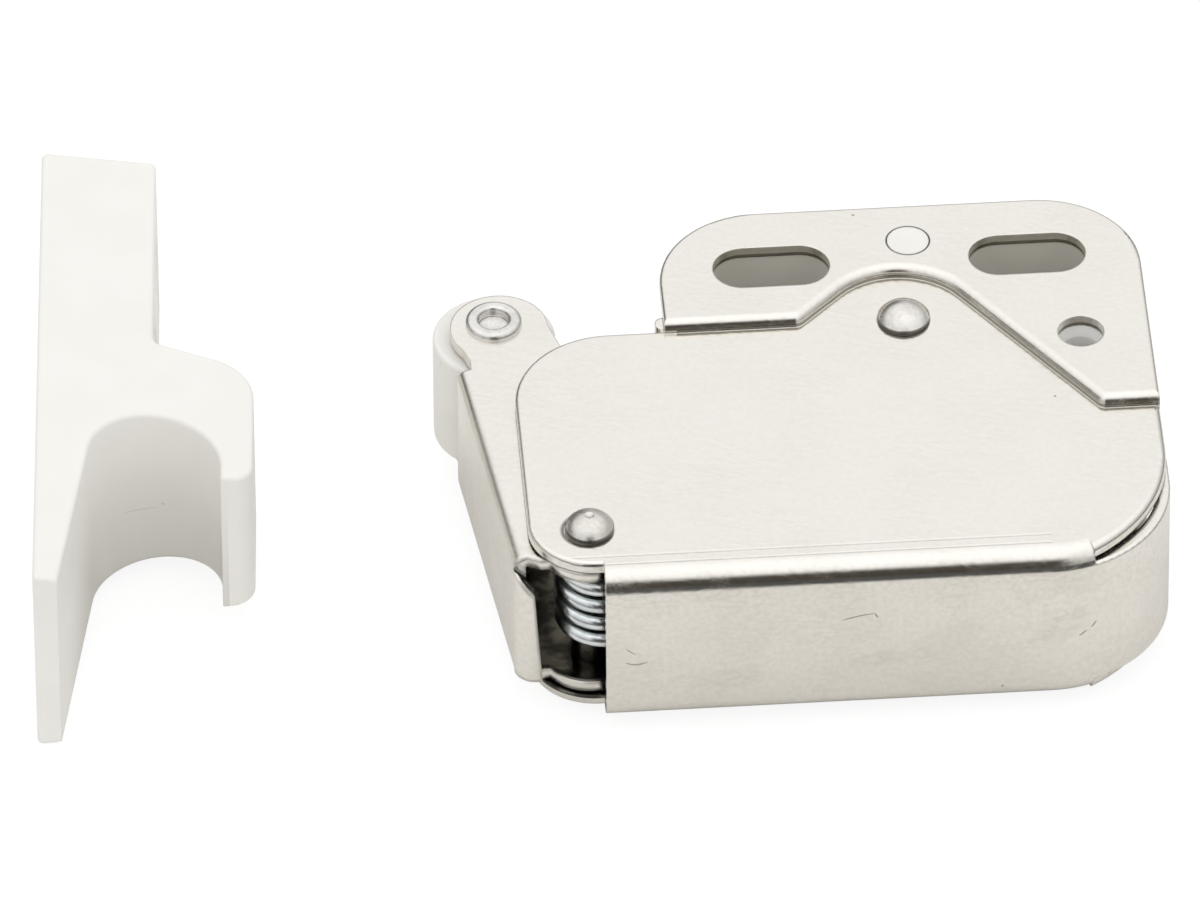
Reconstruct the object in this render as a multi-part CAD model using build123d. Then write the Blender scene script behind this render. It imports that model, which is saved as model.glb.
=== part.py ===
import os
from math import asin, atan2, cos, degrees, hypot, radians, sin, tan

from build123d import *

# Push-to-open latch in a folded sheet case, with a roller lever and its moulded strike.
# Origin: midway between the two fixing slots, on the mounting face of the lower flange.
# +X runs along the row of slots, +Y points out past the flange, +Z up. Millimetres.

# Working values
beyond = 60.0  # cutting shapes run this far past the part
near_enough = 0.05  # tolerance when edges are picked by place

# Sheet and heights
sheet = 0.9
joggle = 0.9  # how far the flanges stand outside the body's plates
body_height = 13.4  # over the lower plate and the cover
bend_radius = 1.5  # outside of the folds along the front wall
edge_round = 0.3  # rolled-over side of a sheared flange edge
plate_edge_round = 0.3  # the same round the plates' bare left end
bare_arc_round = 0.5  # where the plates' bare edge carries on from the fold
step_round = 0.7  # top of the joggled step

# Flange plan
flange_half_width = 17.3
flange_far = 6.05
flange_corner = 7.3
slot_spacing = 18.4
slot_length = 8.4
slot_width = 4.3
hole_x, hole_y = 12.3, -8.75
hole_diameter = 3.3
boss_x, boss_y = 0.8, 2.1
boss_diameter = 3.0
boss_gap = 0.06

# Step between flange and body
step_left_y = -5.72
step_left_x = -7.6
step_left_slope = 45.0
step_right_y = -16.17
step_right_x = 13.15
step_right_slope = 54.7
step_top_radius = 5.5
step_corner_radius = 0.7
step_wall = 0.9
nub_radius = 0.62

# Body plan
body_left = -28.4
body_far = -5.4
body_far_corner = 7.0
bare_near = -30.1
bare_near_corner = 4.7
front_face = -31.9
wall_left = -23.35
wrap_radius = 9.0
wrap_x = 17.4
wrap_end = -20.5
fold_end_angle = 19.5  # how far round the corner the folds are carried
fold_lap = 0.5
wrap_round = 0.2
bare_arc_radius = 12.6
bare_arc_y = -20.33
slit = 0.3  # between the wrapped wall and the plates above and below it

# Lever
pivot_x, pivot_y = -24.1, -26.3
roller_x, roller_y = -29.3, -2.4
head_x, head_y = -28.95, -2.85
head_radius = 3.5
lobe_radius = 3.5
lever_gap = 0.2  # between the lever's flanges and the case, each side
lever_bend = 0.95
web_x, web_y = -31.75, -11.5  # a point on the web's outer face
web_lean = 7.4  # degrees from +Y
web_top_y = -7.4
web_near_y = -29.2
web_near_radius = 1.5
curl_end_x = -27.7
curl_upper_x = -28.2  # the curl's free edge leans out towards its top
curl_upper_cut = 2.5
curl_lower_cut = 0.6
ear_top_cut = 0.85
ear_slope = 0.45
ear_radius = 0.4
notch_radius = 0.5
waist_radius = 3.0
notch_x, notch_y = -31.25, -6.3
right_edge_x, right_edge_y = -21.8, -14.5
tail_reach = 14.2
tail_angle = 6.0  # direction of the follower pin from the pivot at rest
tail_end_radius = 2.2
opening_swing = 34.0  # the roller drops far enough to leave the strike's pocket
over_travel = 5.0

# Roller and its hollow rivet
roller_diameter = 8.8
roller_side_gap = 0.2
roller_crown = 0.35
axle_diameter = 3.0
axle_bore = 2.2
axle_rim_diameter = 4.05
axle_rim_height = 0.55
axle_rim_round = 0.4
axle_mouth_round = 0.25
running_gap = 0.05

# Rivets
pivot_shank = 2.6
pivot_head_diameter = 3.5
pivot_head_height = 1.3
pivot_head_edge = 0.3
pivot_dimple_radius = 0.38
pivot_dimple_depth = 0.16
cam_shank = 3.0
cam_head_diameter = 3.7
cam_head_height = 1.25
cam_head_edge = 0.35
tail_head_diameter = 3.9

# Torsion spring
wire = 1.2
coil_mean_radius = 2.7
coil_shank_gap = 0.1  # the loose coil hangs to one side of the pivot, this far off its shank
coil_pitch = 1.6
coil_turns = 3.25
coil_low = 6.2
lever_leg = 13.0
lever_leg_lean = 13.0
wall_leg = 5.6
wall_leg_lean = 5.0

# Heart cam
cam_x, cam_y = -0.1, -5.4
cam_rock = 12.0
follower_diameter = 2.0
groove_gap = 0.3
groove_wall = 1.3
groove_floor = 7.4
cam_hub_radius = 3.6
cam_lower_gap = 0.5
cam_upper_gap = 0.4
heart_notch = 1.6  # degrees that the caught pin settles back into the island
follower_floor_gap = 0.4
follower_chamfer = 0.25
cam_web_width = 4.6

# Spacer block
block_inset = 0.7
block_gap = 0.15

# Strike
strike_x, strike_y = -63.7, -30.3
strike_turn = -3.7
strike_length = 46.3
strike_height = 15.9
strike_draft = 7.6
strike_plate = 8.2
strike_tip = 1.75
pocket_u, pocket_v = 8.4, 13.9
pocket_radius = 4.7
prong_u = 15.4
prong_tip_v = 12.5
prong_tip_radius = 1.6
shoulder_v = 26.6
shoulder_end_v = 24.6
shoulder_radius = 3.9
shoulder_foot_radius = 0.8
strike_round = 0.3
strike_corner = 0.45
screw_diameter = 3.4
screw_head_diameter = 6.6
screw_head_depth = 1.9
screw_first_v = 31.5
screw_spacing = 9.5
screw_count = 2

# Heights worked out from the sizes above
lower_plate = joggle
cover_top = lower_plate + body_height
flange_top = cover_top + joggle
inside_low = lower_plate + sheet
inside_high = cover_top - sheet
lever_low = inside_low + lever_gap
lever_high = inside_high - lever_gap
cam_low = lever_low + sheet + cam_lower_gap
cam_high = lever_high - sheet - cam_upper_gap
groove_half = follower_diameter / 2 + groove_gap
wrap_centre_x = wrap_x - wrap_radius
wrap_centre_y = front_face + wrap_radius
coil_x = pivot_x + coil_mean_radius - wire / 2 - pivot_shank / 2 - coil_shank_gap


def outline(points, radii):
    """Face inside a closed polyline whose corners are rounded one by one."""
    return make_face(FilletPolyline(*points, radius=radii, close=True).edges())


def slab(face, low, high):
    return Pos(0, 0, low) * extrude(face, high - low)


def disc(x, y, radius, low, high):
    return Pos(x, y, low) * extrude(Circle(radius), high - low)


def rect(x0, y0, x1, y1):
    return Pos((x0 + x1) / 2, (y0 + y1) / 2) * Rectangle(x1 - x0, y1 - y0)


def step_points():
    """The step's corners from left to right, the middle one being the top of its arch."""
    left, right = tan(radians(step_left_slope)), tan(radians(step_right_slope))
    rise = step_right_y - step_left_y + right * step_right_x + left * step_left_x
    top_x = rise / (left + right)
    top_y = step_left_y + left * (top_x - step_left_x)
    return [(step_left_x, step_left_y), (top_x, top_y), (step_right_x, step_right_y)]


def flange_outline():
    """Sides and far edge of the flange, run on towards the body."""
    half = flange_half_width
    points = [(-half, front_face), (-half, flange_far), (half, flange_far), (half, front_face)]
    return outline(points, [0, flange_corner, flange_corner, 0])


def side_of_step(far):
    """Everything on one side of the step, wider than the flange."""
    half, end = flange_half_width + beyond, beyond if far else -beyond
    points = [(-half, step_left_y)] + step_points() + [(half, step_right_y), (half, end), (-half, end)]
    return outline(points, [0, step_corner_radius, step_top_radius, step_corner_radius, 0, 0, 0])


def flange_plan():
    return flange_outline() & side_of_step(True)


def step_band(width):
    """The flange's strip along the step."""
    return flange_plan() & offset(side_of_step(False), width)


def wedge(centre_x, centre_y, start, end, reach):
    """Triangle that holds everything between two directions, in degrees from straight down."""
    points = [(centre_x, centre_y)]
    for angle in (start, end):
        turn = radians(angle)
        points.append((centre_x + reach * sin(turn), centre_y - reach * cos(turn)))
    return make_face(Polyline(*points, close=True).edges())


def plate_plan():
    """Flat part of the cover and of the lower plate, up to the folds and the step."""
    half = flange_half_width
    fold_line = front_face + bend_radius
    points = [(body_left, body_far), (-half, body_far), (-half, step_left_y)] + step_points()
    points += [(half, step_right_y), (half, fold_line - wrap_radius), (body_left, fold_line - wrap_radius)]
    radii = [body_far_corner, 0, 0, step_corner_radius, step_top_radius, step_corner_radius, 0, 0, 0]
    whole = outline(points, radii)
    middle = whole & rect(wall_left, fold_line, wrap_centre_x, beyond)
    left = whole & rect(-beyond, -beyond, wall_left, beyond)
    points = [(body_left, bare_near), (body_left, beyond), (beyond, beyond), (beyond, bare_near)]
    left &= outline(points, [bare_near_corner, 0, 0, 0])
    right = whole & rect(wrap_centre_x, front_face, half, 20)
    bare = Pos(half - bare_arc_radius, bare_arc_y) * Circle(bare_arc_radius)
    right &= bare + rect(wrap_centre_x, bare_arc_y, half, beyond)
    folded = wedge(wrap_centre_x, wrap_centre_y, 0, fold_end_angle, 2 * wrap_radius)
    reach = Pos(wrap_centre_x, wrap_centre_y) * Circle(wrap_radius - bend_radius)
    right = (right - folded) + (folded & reach & right)
    return middle + left + right


def channel_section(low, high, bend, reach):
    """Section of folded sheet: a wall on the section's upright axis and a strip of each flange."""
    outer = outline([(0, low), (0, high), (reach, high), (reach, low)], [bend, bend, 0, 0])
    corners = [(sheet, low + sheet), (sheet, high - sheet), (reach, high - sheet), (reach, low + sheet)]
    inner_bend = max(bend - sheet, near_enough)
    return outer - outline(corners, [inner_bend, inner_bend, 0, 0])


def front_wall():
    """The folded front: a straight run and the start of the corner."""
    section = channel_section(lower_plate, cover_top, bend_radius, bend_radius + fold_lap)
    upright = Plane(origin=(wall_left, front_face, 0), x_dir=(0, 1, 0), z_dir=(1, 0, 0))
    straight = extrude(upright * section, wrap_centre_x - wall_left)
    start = Plane(origin=(wrap_centre_x, front_face, 0), x_dir=(0, 1, 0), z_dir=(1, 0, 0))
    axis = Axis((wrap_centre_x, wrap_centre_y, 0), (0, 0, 1))
    corner = revolve(start * section, axis, fold_end_angle)
    return straight + corner


def is_outside(edge):
    """Edges on the wrap's outer face."""
    middle = edge @ 0.5
    on_arc = hypot(middle.X - wrap_centre_x, middle.Y - wrap_centre_y) > wrap_radius - near_enough
    return on_arc if middle.Y < wrap_centre_y else middle.X > wrap_x - near_enough


def wrap():
    """The strip of the front wall that is bent round the right-hand corner."""
    low, high = inside_low + slit, inside_high - slit
    ring = Circle(wrap_radius) - Circle(wrap_radius - sheet)
    quarter = Pos(wrap_centre_x, wrap_centre_y) * ring
    quarter &= rect(wrap_centre_x, front_face, wrap_x, wrap_centre_y)
    side = rect(wrap_x - sheet, wrap_centre_y, wrap_x, wrap_end)
    strip = slab(quarter + side, low, high)
    outer = [e for e in strip.edges() if abs(e.center().Z - high) < near_enough and is_outside(e)]
    outer += [e for e in strip.edges() if abs(e.center().Z - low) < near_enough and is_outside(e)]
    return fillet(outer, wrap_round)


def rounded_plate(face, low, high, up, *rounds):
    """A plate rounded on its outward side: each round is a test that picks edges, and a radius."""
    plate = slab(face, low, high)
    level = high if up else low
    for keep, radius in rounds:
        edges = [e for e in plate.edges() if abs(e.center().Z - level) < near_enough and keep(e)]
        plate = fillet(edges, radius)
    return plate


def is_bare(edge):
    """Bare edges of the plates: not the fold line and not the step."""
    middle = edge @ 0.5
    fold_line = front_face + bend_radius
    along_fold = middle.Y < fold_line + near_enough and middle.X > wall_left - near_enough
    off_corner = hypot(middle.X - wrap_centre_x, middle.Y - wrap_centre_y) - wrap_radius + bend_radius
    at_corner_fold = abs(off_corner) < near_enough and middle.X > wrap_centre_x
    at_wall = abs(middle.X - wall_left) < near_enough
    on_step = abs(middle.X) <= flange_half_width and middle.Y > step_right_y - near_enough
    radial = middle.X > wrap_centre_x and is_radial(edge)
    return not (along_fold or at_corner_fold or at_wall or on_step or radial)


def is_bare_end(edge):
    return is_bare(edge) and (edge @ 0.5).X < 0


def is_bare_arc(edge):
    return is_bare(edge) and (edge @ 0.5).X > 0


def is_radial(edge):
    start, end = edge @ 0, edge @ 1
    first = degrees(atan2(start.X - wrap_centre_x, wrap_centre_y - start.Y))
    last = degrees(atan2(end.X - wrap_centre_x, wrap_centre_y - end.Y))
    return abs(first - fold_end_angle) < near_enough and abs(last - fold_end_angle) < near_enough


def on_step_line(edge):
    middle = edge @ 0.5
    return abs(middle.X) < flange_half_width + beyond - 1 and middle.Y < beyond - 1


def round_flange(low, high, up):
    """A flange: rolled at its sheared edge and rounded more along the step."""
    sheared = rounded_plate(flange_outline(), low, high, up, (lambda edge: True, edge_round))
    return sheared & rounded_plate(side_of_step(True), low, high, up, (on_step_line, step_round))


def through_holes(gap=0.0):
    """Slots and round hole of the flange, for cutting."""
    low, high = -sheet, flange_top + sheet
    holes = disc(hole_x, hole_y, hole_diameter / 2 + gap, low, high)
    for side in (-1, 1):
        slot = SlotOverall(slot_length + 2 * gap, slot_width + 2 * gap)
        holes += Pos(side * slot_spacing / 2, 0, low) * extrude(slot, high - low)
    return holes


def make_case():
    plan, band = plate_plan(), step_band(step_wall)
    rounds = [(is_bare_end, plate_edge_round), (is_bare_arc, bare_arc_round)]
    upper = rounded_plate(plan, inside_high, cover_top, True, *rounds)
    lower = rounded_plate(plan, lower_plate, inside_low, False, *rounds)
    case = upper + lower
    case += round_flange(flange_top - sheet, flange_top, True) + round_flange(0, sheet, False)
    case += slab(band, inside_high, flange_top - step_round) + slab(band, step_round, inside_low)
    case += front_wall() + wrap()
    for low, high in ((step_round, inside_low), (inside_high, flange_top - step_round)):
        case += disc(-flange_half_width, step_left_y + step_wall, nub_radius, low, high)
    case -= through_holes()
    case -= disc(boss_x, boss_y, boss_diameter / 2 + boss_gap, -sheet, flange_top + sheet)
    case -= disc(pivot_x, pivot_y, pivot_shank / 2, 0, flange_top)
    case -= disc(cam_x, cam_y, cam_shank / 2, 0, flange_top)
    return case


def make_spacer_block():
    """Moulded block that keeps the two flanges apart and shows as a flush boss in each."""
    inner = offset(flange_plan(), -block_inset) - offset(side_of_step(False), step_wall + block_gap)
    block = slab(inner, sheet, flange_top - sheet)
    block -= through_holes(block_gap)
    return block + disc(boss_x, boss_y, boss_diameter / 2, 0, flange_top)


def web_face(y, depth=0.0):
    """Point at this y on the web's outer face, or so deep behind it."""
    lean = radians(web_lean)
    return web_x + (depth - (y - web_y) * sin(lean)) / cos(lean), y


def flange_of_lever():
    """Plan of one flange: roller head, notch, web side and pivot lobe."""
    near = web_near_y + web_near_radius
    points = [(head_x - head_radius, head_y), (notch_x, notch_y), (notch_x, web_top_y)]
    points += [web_face(web_top_y, lever_bend), web_face(near, lever_bend)]
    points += [(curl_end_x, near - ear_slope), (pivot_x, near - ear_slope)]
    points += [(right_edge_x, right_edge_y), (head_x + head_radius, head_y)]
    plan = outline(points, [0, notch_radius, 0, 0, ear_radius, 0, 0, waist_radius, 0])
    plan += Pos(head_x, head_y) * Circle(head_radius)
    return plan + Pos(pivot_x, pivot_y) * Circle(lobe_radius)


def bar(start, end, width):
    """Straight strip between two points."""
    (x0, y0), (x1, y1) = start, end
    turn = degrees(atan2(y1 - y0, x1 - x0))
    return Pos((x0 + x1) / 2, (y0 + y1) / 2) * Rot(0, 0, turn) * Rectangle(hypot(x1 - x0, y1 - y0), width)


def tail_plan():
    """Arm that carries the follower pin."""
    end = pin_position(0)
    return bar((pivot_x, pivot_y), end, 2 * tail_end_radius) + Pos(*end) * Circle(tail_end_radius)


def web_curl():
    """Near end of the web, cut free of the flanges and curled round."""
    centre_x, centre_y = web_face(web_near_y + web_near_radius, web_near_radius)
    ring = Circle(web_near_radius) - Circle(web_near_radius - sheet)
    arc = (Pos(centre_x, centre_y) * ring) & wedge(centre_x, centre_y, web_lean - 90, 0, 2 * web_near_radius)
    plan = arc + rect(centre_x, web_near_y, curl_end_x, web_near_y + sheet)
    high, low = lever_high - ear_top_cut, lever_low + curl_lower_cut
    profile = [(centre_x - web_near_radius, high), (centre_x - web_near_radius, low)]
    profile += [(curl_end_x, low), (curl_upper_x, lever_high - curl_upper_cut)]
    side = make_face(Polyline(*profile, close=True).edges())
    return slab(plan, low, high) & extrude(Plane.XZ.offset(beyond) * side, -2 * beyond)


def make_lever():
    """One folded channel: two flanges, a web, and a tail on the upper flange."""
    lean = radians(web_lean)
    start = web_face(web_top_y)
    near = web_near_y + web_near_radius - web_near_radius * sin(lean)
    plane = Plane(origin=(*start, 0), x_dir=(cos(lean), sin(lean), 0), z_dir=(sin(lean), -cos(lean), 0))
    section = channel_section(lever_low, lever_high, lever_bend, lever_bend + fold_lap)
    lever = extrude(plane * section, (web_top_y - near) / cos(lean))
    plan = flange_of_lever()
    lever += slab(plan, lever_low, lever_low + sheet)
    lever += slab(plan + tail_plan(), lever_high - sheet, lever_high)
    lever += web_curl()
    lever -= disc(pivot_x, pivot_y, pivot_shank / 2 + running_gap, 0, flange_top)
    lever -= disc(roller_x, roller_y, axle_diameter / 2, 0, flange_top)
    return lever - disc(*pin_position(0), follower_diameter / 2, cam_high, flange_top)


def domed_head(radius, height, edge, base, up, dimple=0.0, depth=0.0):
    """Solid of revolution: a short edge and a dome, with a dimple in the middle if wanted."""
    way = 1 if up else -1
    cap = height - edge
    sphere = (radius * radius + cap * cap) / (2 * cap)
    head = disc(0, 0, radius, min(base, base + way * height), max(base, base + way * height))
    head &= Pos(0, 0, base + way * (height - sphere)) * Sphere(sphere)
    if dimple:
        bite = (dimple * dimple + depth * depth) / (2 * depth)
        head -= Pos(0, 0, base + way * (height + bite - depth)) * Sphere(bite)
    return head


def make_pivot_rivet():
    rivet = disc(0, 0, pivot_shank / 2, lower_plate, cover_top)
    rivet += domed_head(
        pivot_head_diameter / 2, pivot_head_height, pivot_head_edge, cover_top, True,
        pivot_dimple_radius, pivot_dimple_depth,
    )
    rivet += domed_head(tail_head_diameter / 2, joggle, joggle / 2, lower_plate, False)
    return Pos(pivot_x, pivot_y) * rivet


def make_cam_rivet():
    rivet = disc(0, 0, cam_shank / 2, lower_plate, cover_top)
    rivet += domed_head(cam_head_diameter / 2, cam_head_height, cam_head_edge, cover_top, True)
    rivet += domed_head(tail_head_diameter / 2, joggle, joggle / 2, lower_plate, False)
    return Pos(cam_x, cam_y) * rivet


def make_roller():
    low, high = lever_low + sheet + roller_side_gap, lever_high - sheet - roller_side_gap
    body = Pos(0, 0, low) * extrude(Circle(roller_diameter / 2), high - low)
    body = fillet(body.edges().filter_by(GeomType.CIRCLE), roller_crown)
    body -= disc(0, 0, axle_diameter / 2 + running_gap, 0, flange_top)
    return Pos(roller_x, roller_y) * body


def make_roller_axle():
    """Hollow rivet with a rolled rim at each end."""
    rim_radius, bore = axle_rim_diameter / 2, axle_bore / 2
    axle = disc(0, 0, axle_diameter / 2, lever_low, lever_high)
    for base, way in ((lever_high, 1), (lever_low, -1)):
        low, high = min(base, base + way * axle_rim_height), max(base, base + way * axle_rim_height)
        rim = disc(0, 0, rim_radius, low, high)
        outer = [e for e in rim.edges() if abs(e.center().Z - (high if way > 0 else low)) < near_enough]
        axle += fillet(outer, axle_rim_round)
    axle -= disc(0, 0, bore, 0, flange_top)
    mouths = [e for e in axle.edges().filter_by(GeomType.CIRCLE) if abs(e.radius - bore) < near_enough]
    axle = fillet(mouths, axle_mouth_round)
    return Pos(roller_x, roller_y) * axle


def make_torsion_spring():
    """Left-hand coil round the pivot, one leg on the lever's web, one on the front wall."""
    rise = coil_pitch * coil_turns
    path = Helix(coil_pitch, rise, coil_mean_radius, lefthand=True)
    path = Pos(coil_x, pivot_y, coil_low) * Rot(0, 0, -90) * path
    spring = sweep(Plane(origin=path @ 0, z_dir=path % 0) * Circle(wire / 2), path=path, is_frenet=True)
    wall_end = leg(path @ 0, -wall_leg_lean, wall_leg)
    lever_end = leg(path @ 1, 90 + lever_leg_lean, lever_leg)
    return spring + wall_end + lever_end


def leg(start, heading, length):
    turn = radians(heading)
    plane = Plane(origin=start, z_dir=(cos(turn), sin(turn), 0))
    return extrude(plane * Circle(wire / 2), length) + Pos(*start) * Sphere(wire / 2)


def pin_position(swing):
    """Place of the follower pin when the lever has swung open by this many degrees."""
    turn = radians(tail_angle + swing)
    return pivot_x + tail_reach * cos(turn), pivot_y + tail_reach * sin(turn)


def lane(swing_from, swing_to, half):
    """Band that the pin sweeps while the lever swings and the cam stands still."""
    arc = CenterArc((pivot_x, pivot_y), tail_reach, tail_angle + swing_from, swing_to - swing_from)
    return SlotArc(arc, 2 * half)


def crossing(swing, half):
    """Band that the pin sweeps in the cam while the cam rocks and the lever stands still."""
    x, y = pin_position(swing)
    reach = hypot(x - cam_x, y - cam_y)
    heading = degrees(atan2(y - cam_y, x - cam_x))
    return SlotArc(CenterArc((cam_x, cam_y), reach, heading - cam_rock, cam_rock), 2 * half)


def rocked(face, angle):
    return Pos(cam_x, cam_y) * Rot(0, 0, angle) * Pos(-cam_x, -cam_y) * face


def heart_track(half):
    """Loop round the island: two lanes, joined where the lever is shut and where it is open."""
    way_out = lane(-over_travel, opening_swing, half)
    way_in = rocked(lane(-over_travel, opening_swing, half), -cam_rock)
    shut = crossing(-over_travel, half) + crossing(0, half)
    return way_out + way_in + shut + crossing(opening_swing, half)


def make_heart_cam():
    """Moulded cam that rocks on its rivet. The follower pin runs round its heart-shaped groove."""
    rim = groove_half + groove_wall
    plan = heart_track(rim) + rocked(lane(-over_travel, opening_swing, rim), -cam_rock / 2)
    plan += Pos(cam_x, cam_y) * Circle(cam_hub_radius)
    for swing in (opening_swing / 2, opening_swing):
        plan += bar((cam_x, cam_y), pin_position(swing), cam_web_width)
    groove = heart_track(groove_half)
    catch = rocked(Pos(*pin_position(heart_notch)) * Circle(groove_half), -cam_rock / 2)
    cam = slab(plan, cam_low, cam_high) - slab(groove + catch, groove_floor, flange_top)
    return cam - disc(cam_x, cam_y, cam_shank / 2 + running_gap, 0, flange_top)


def make_follower_pin():
    x, y = pin_position(0)
    pin = disc(x, y, follower_diameter / 2, groove_floor + follower_floor_gap, lever_high)
    return chamfer(pin.edges().group_by(Axis.Z)[0], follower_chamfer)


def strike_plan():
    """Profile seen from above: back, ramp, pocket, prong, shoulder and fixing plate."""
    block = outline(
        [
            (0, 0), (0, strike_length), (strike_plate, strike_length), (strike_plate, shoulder_v),
            (prong_u, shoulder_end_v), (prong_u, prong_tip_v), (pocket_u, prong_tip_v), (pocket_u, 0),
        ],
        [strike_corner, strike_corner, strike_corner, shoulder_foot_radius,
         shoulder_radius, prong_tip_radius, 0, 0],
    )
    # The ramp runs from the near tip to touch the pocket's circle
    away, ahead = pocket_u - strike_tip, pocket_v
    turn = atan2(away, ahead) - asin(pocket_radius / hypot(away, ahead))
    touch = (pocket_u - pocket_radius * cos(turn), pocket_v + pocket_radius * sin(turn))
    run = hypot(away, ahead)
    mouth = [touch, (strike_tip, 0), (strike_tip - run * tan(turn), -run), (pocket_u + pocket_radius, -run)]
    mouth += [(pocket_u + pocket_radius, pocket_v), (pocket_u, pocket_v)]
    block -= Pos(pocket_u, pocket_v) * Circle(pocket_radius)
    return block - make_face(Polyline(*mouth, close=True).edges())


def make_strike():
    """Moulded strike: it tapers in height from its back to its prong."""
    reach = 2 * prong_u
    rise = reach * tan(radians(strike_draft))
    side = [(0, 0), (reach, rise), (reach, strike_height - rise), (0, strike_height)]
    body = extrude(strike_plan(), strike_height)
    body &= extrude(Plane.XZ.offset(beyond) * make_face(Polyline(*side, close=True).edges()), -3 * beyond)
    sloped = [f for f in body.faces() if abs(f.normal_at().Z) > 0.9]
    body = fillet([e for f in sloped for e in f.edges()], strike_round)
    for number in range(screw_count):
        v = screw_first_v + number * screw_spacing
        place = Pos(0, v, strike_height / 2) * Rot(0, 90, 0)
        hole = disc(0, 0, screw_diameter / 2, -strike_plate, 2 * strike_plate)
        sink = Cone(screw_diameter / 2, screw_head_diameter / 2, screw_head_depth)
        body -= place * (hole + Pos(0, 0, strike_plate - screw_head_depth / 2) * sink)
    return Pos(strike_x, strike_y) * Rot(0, 0, strike_turn) * body


parts = {
    "case": make_case,
    "spacer_block": make_spacer_block,
    "lever": make_lever,
    "roller": make_roller,
    "roller_axle": make_roller_axle,
    "pivot_rivet": make_pivot_rivet,
    "cam_rivet": make_cam_rivet,
    "torsion_spring": make_torsion_spring,
    "heart_cam": make_heart_cam,
    "follower_pin": make_follower_pin,
    "strike": make_strike,
}

os.makedirs("parts", exist_ok=True)
for name, make in parts.items():
    export_step(make(), f"parts/{name}.step")
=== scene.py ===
# Push-to-open latch lying on its back with its moulded strike beside it
import math

import bmesh
import bpy
from mathutils import Matrix, Vector


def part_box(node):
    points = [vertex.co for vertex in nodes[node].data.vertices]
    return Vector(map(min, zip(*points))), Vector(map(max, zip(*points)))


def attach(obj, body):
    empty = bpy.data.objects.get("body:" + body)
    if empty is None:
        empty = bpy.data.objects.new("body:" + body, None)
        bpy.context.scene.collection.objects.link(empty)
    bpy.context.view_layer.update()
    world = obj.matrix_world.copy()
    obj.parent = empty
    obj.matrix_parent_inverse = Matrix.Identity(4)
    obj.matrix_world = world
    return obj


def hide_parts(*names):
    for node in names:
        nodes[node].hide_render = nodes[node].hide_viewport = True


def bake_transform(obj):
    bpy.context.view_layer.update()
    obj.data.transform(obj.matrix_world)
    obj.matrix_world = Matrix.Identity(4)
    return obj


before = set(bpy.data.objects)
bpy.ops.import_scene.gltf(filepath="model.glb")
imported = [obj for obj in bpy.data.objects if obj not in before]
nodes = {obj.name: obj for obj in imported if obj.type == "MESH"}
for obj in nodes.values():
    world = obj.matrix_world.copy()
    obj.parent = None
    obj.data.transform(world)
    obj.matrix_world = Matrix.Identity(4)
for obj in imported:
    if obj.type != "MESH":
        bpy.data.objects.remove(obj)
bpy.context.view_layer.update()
mm = 0.001
print("frame loaded:", len(nodes), "nodes")


# Camera: a long lens, set from where one point of the flange shows in the 1200 x 900 picture
view = {
    "azimuth": -3.75,
    "elevation": 41.2,
    "roll": 0.45,
    "imageWidth": 1200,
    "imageHeight": 900,
    "focalPixels": 20000,
    "sensorWidth": 36.0,
    "pixelsPerMm": 13.95,
    "anchorPoint": (0.0, 0.0, 15.2 * mm),  # the flange's upper face over the origin
    "anchorPixel": (899, 260),
}


def makeCamera():
    a, e, r = (math.radians(view[k]) for k in ("azimuth", "elevation", "roll"))
    back = Vector((math.sin(a) * math.cos(e), -math.cos(a) * math.cos(e), math.sin(e)))
    level = Vector((math.cos(a), math.sin(a), 0.0))
    upright = back.cross(level)
    right = level * math.cos(r) - upright * math.sin(r)
    up = level * math.sin(r) + upright * math.cos(r)
    distance = view["focalPixels"] / view["pixelsPerMm"] * mm
    offX = (view["anchorPixel"][0] - view["imageWidth"] / 2) / view["focalPixels"] * distance
    offY = (view["imageHeight"] / 2 - view["anchorPixel"][1]) / view["focalPixels"] * distance
    place = Vector(view["anchorPoint"]) - right * offX - up * offY + back * distance
    data = bpy.data.cameras.new("photoCamera")
    data.sensor_width = view["sensorWidth"]
    data.lens = view["focalPixels"] / view["imageWidth"] * view["sensorWidth"]
    data.clip_start, data.clip_end = 0.05, 20.0
    camera = bpy.data.objects.new("photoCamera", data)
    turn = Matrix((right, up, back)).transposed().to_4x4()
    camera.matrix_world = Matrix.Translation(place) @ turn
    bpy.context.scene.collection.objects.link(camera)
    bpy.context.scene.camera = camera


makeCamera()
bpy.context.scene.view_settings.view_transform = "Standard"
print("camera set")


# Small helpers for node trees
def addNode(tree, kind, **settings):
    node = tree.nodes.new(kind)
    for name, value in settings.items():
        setattr(node, name, value)
    return node


def plug(tree, socket, value):
    if isinstance(value, bpy.types.NodeSocket):
        tree.links.new(value, socket)
    elif value is not None:
        socket.default_value = value


def setInputs(tree, node, **values):
    for name, value in values.items():
        plug(tree, node.inputs[name.replace("_", " ")], value)
    return node


def mathNode(tree, operation, first, second=None, third=None, clamp=False):
    node = addNode(tree, "ShaderNodeMath", operation=operation, use_clamp=clamp)
    for socket, value in zip(node.inputs, (first, second, third)):
        plug(tree, socket, value)
    return node.outputs[0]


def vectorMath(tree, operation, first, second=None):
    node = addNode(tree, "ShaderNodeVectorMath", operation=operation)
    plug(tree, node.inputs[0], first)
    plug(tree, node.inputs[1], second)
    return node.outputs[1] if operation in ("LENGTH", "DOT_PRODUCT") else node.outputs[0]


def remap(tree, value, low, high, lowTo=0.0, highTo=1.0):
    node = addNode(tree, "ShaderNodeMapRange", interpolation_type="SMOOTHSTEP")
    for socket, given in zip(node.inputs, (value, low, high, lowTo, highTo)):
        plug(tree, socket, given)
    return node.outputs[0]


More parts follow.
